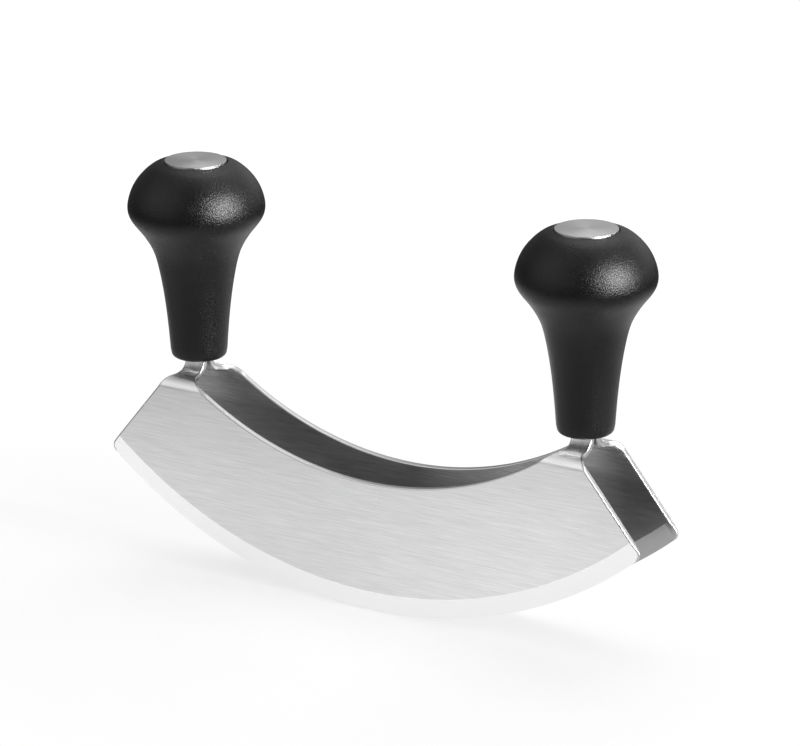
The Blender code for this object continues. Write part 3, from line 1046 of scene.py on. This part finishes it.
class KNIFE_OT_handles(bpy.types.Operator):
    """Turn both knob handles in smooth grained plastic"""

    bl_idname = "knife.handles"
    bl_label = "Handles"

    def execute(self, context):
        settings = context.scene.knife_handles
        plastic = self.grained_plastic(settings)
        disc_thickness = context.scene.knife_caps.disc_thickness
        for side in SIDES:
            self.turn_handle(side, settings, disc_thickness, plastic)
        return {"FINISHED"}

    def grained_plastic(self, settings):
        """Black moulded plastic with spark-eroded grain, and paler dots as painted glints."""
        material, tree, shader = new_material("handle_plastic")
        grain = place_group(tree, "spark_grain", {"Grains per Metre": settings.grain_count})
        low = (*settings.colour, 1)
        high = (*(channel * glint_gain for channel in settings.colour), 1)
        rough_range = [settings.roughness * share for share in uneven_roughness]
        rough = spread(tree, grain["Unevenness"], cloud_range, rough_range)
        # paler dots in the colour: painted glints of the grain
        feed(tree, shader.inputs["Base Color"], mix_colour(tree, grain["Glint Dots"], low, high))
        feed(tree, shader.inputs["Roughness"], rough)
        shader.inputs["Specular IOR Level"].default_value = settings.gloss
        add_bump(tree, shader, grain["Height"], settings.grain_depth)
        return material

    def turn_handle(self, side, settings, disc_thickness, plastic):
        """One handle with its cap seat, washer seat, bore and socket."""
        name = f"{side}_handle"
        low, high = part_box(name)
        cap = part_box(f"{side}_end_cap")
        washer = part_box(f"{side}_washer")
        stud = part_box(f"{side}_stud")
        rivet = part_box(f"{side}_upper_rivet")
        gap = settings.gap
        recess = radius_of(cap) + gap
        recess_floor = cap[1].z - disc_thickness - gap
        seat = radius_of(washer) + gap
        seat_floor = washer[0].z - gap
        bore = radius_of(stud) + gap
        socket_top = stud[0].z - gap
        inside = [
            (0, socket_top), (bore, socket_top), (bore, seat_floor),
            (seat, seat_floor), (seat, recess_floor), (recess, recess_floor),
        ]
        lip_level = high.z - settings.lip_drop
        lip = settings.lip_rounding
        lip_edge = quarter(recess + lip, lip_level - lip, lip, 180, handle_rounding_steps)
        stations = [Vector((recess + settings.cap_lip, lip_level))]
        for height_share, radius_share in knob_profile_shares:
            height = low.z + height_share * (high.z - low.z)
            stations.append(Vector((radius_share * radius_of((low, high)), height)))
        foot = settings.bottom_rounding
        curve = smooth_through(stations, outline_steps)
        wall = [point for point in curve if point.y > low.z + foot]
        bottom = quarter(stations[-1].x - foot, low.z + foot, foot, 0, handle_rounding_steps)
        profile = inside + lip_edge + wall + bottom + [(0, low.z)]
        middle = (low + high) / 2
        shape = turned_shape(profile, middle, handle_turn_steps)
        piece = add_piece(f"{name}_knob", shape, [plastic], name)
        self.cut_socket(piece, middle, low.z, socket_top + gap, rivet[1].y + gap, gap)
        smooth_by_angle(piece, handle_crease)

    def cut_socket(self, piece, axis_place, floor, ceiling, half_depth, gap):
        """Rectangular socket that the two tangs fill, open at the handle's bottom."""
        size = Vector((tang_width + 2 * gap, 2 * half_depth, ceiling - floor + overrun))
        middle = Vector((axis_place.x, axis_place.y, (ceiling + floor - overrun) / 2))
        shape = bmesh.new()
        place = Matrix.Translation(middle) @ Matrix.Diagonal((*size, 1))
        bmesh.ops.create_cube(shape, size=1, matrix=place)
        cut_with(piece, shape)


# Caps

class KNIFE_OT_caps(bpy.types.Operator):
    """Turn both end caps with a satin face and a rounded rim"""

    bl_idname = "knife.caps"
    bl_label = "End Caps"

    def execute(self, context):
        settings = context.scene.knife_caps
        finishes = (
            ground_steel(
                "cap_steel", settings.colour, roughness=0.36, lines=cap_lines,
                relief=0.000006, contrast=0.03, anisotropy=0.3,
            ),
            ground_steel(
                "cap_rim", settings.rim_colour, roughness=0.52, lines=cap_lines,
                relief=0.000003, contrast=0.02, anisotropy=0.0,
            ),
        )
        for side in SIDES:
            self.turn_cap(side, settings, finishes)
        return {"FINISHED"}

    def turn_cap(self, side, settings, finishes):
        """One disc with a rounded rim, on the spigot that sits in the handle."""
        name = f"{side}_end_cap"
        low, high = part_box(name)
        radius = radius_of((low, high))
        spigot = radius_of(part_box(f"{side}_washer"))
        underside = high.z - settings.disc_thickness
        rim = settings.rim_rounding
        profile = [(0, high.z)]
        profile += quarter(radius - rim, high.z - rim, rim, 90, cap_rounding_steps)
        profile += [(radius, underside), (spigot, underside), (spigot, low.z), (0, low.z)]
        shape = turned_shape(profile, (low + high) / 2, cap_turn_steps)
        side_slope, top_slope = cap_rounding
        for face in shape.faces:
            rounded = side_slope < face.normal.z < top_slope
            face.material_index = CAP_RIM if rounded else CAP_TOP
        piece = add_piece(f"{name}_disc", shape, finishes, name)
        smooth_by_angle(piece, cap_crease)


# Fasteners inside the handles

class KNIFE_OT_fasteners(bpy.types.Operator):
    """Give the studs, rivets, washers and nuts plain turned steel"""

    bl_idname = "knife.fasteners"
    bl_label = "Fasteners"

    def execute(self, context):
        steel = ground_steel(
            "fastener_steel", fastener_colour, roughness=0.38, lines=fastener_lines,
            relief=0.000006, contrast=0.06, anisotropy=0.2,
        )
        for side in SIDES:
            for kind in FASTENERS:
                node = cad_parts[f"{side}_{kind}"]
                node.data.materials.clear()
                node.data.materials.append(steel)
        return {"FINISHED"}


class KNIFE_PT_panel(bpy.types.Panel):
    """Sizes, colours and steps of the knife's finish"""

    bl_idname = "KNIFE_PT_panel"
    bl_label = "Mincing Knife"
    bl_space_type = "VIEW_3D"
    bl_region_type = "UI"
    bl_category = "Mincing Knife"

    def draw(self, context):
        for name in STEPS:
            box = self.layout.box()
            box.operator(f"knife.{name}")
            settings = getattr(context.scene, f"knife_{name}", None)
            if settings is None:
                continue
            for key in settings.bl_rna.properties.keys():
                if key not in ("rna_type", "name"):
                    box.prop(settings, key)


STEPS = ("stage", "blades", "handles", "caps", "fasteners")
SETTINGS = (
    ("knife_stage", StageSettings),
    ("knife_blades", BladeSettings),
    ("knife_handles", HandleSettings),
    ("knife_caps", CapSettings),
)
OPERATORS = (
    KNIFE_OT_stage, KNIFE_OT_blades, KNIFE_OT_handles, KNIFE_OT_caps, KNIFE_OT_fasteners,
)


def register():
    """Make the settings, operators and panel known."""
    for name, settings in SETTINGS:
        bpy.utils.register_class(settings)
        setattr(bpy.types.Scene, name, bpy.props.PointerProperty(type=settings))
    for operator in OPERATORS:
        bpy.utils.register_class(operator)
    bpy.utils.register_class(KNIFE_PT_panel)


def unregister():
    """Take the settings, operators and panel away again."""
    bpy.utils.unregister_class(KNIFE_PT_panel)
    for operator in reversed(OPERATORS):
        bpy.utils.unregister_class(operator)
    for name, settings in reversed(SETTINGS):
        delattr(bpy.types.Scene, name)
        bpy.utils.unregister_class(settings)


def main():
    """Build the finish step by step."""
    register()
    grind_lines_group()
    bent_sheet_group()
    spark_grain_group()
    bpy.ops.knife.stage()
    bpy.ops.knife.blades()
    bpy.ops.knife.handles()
    bpy.ops.knife.caps()
    bpy.ops.knife.fasteners()


if __name__ == "__main__":
    main()
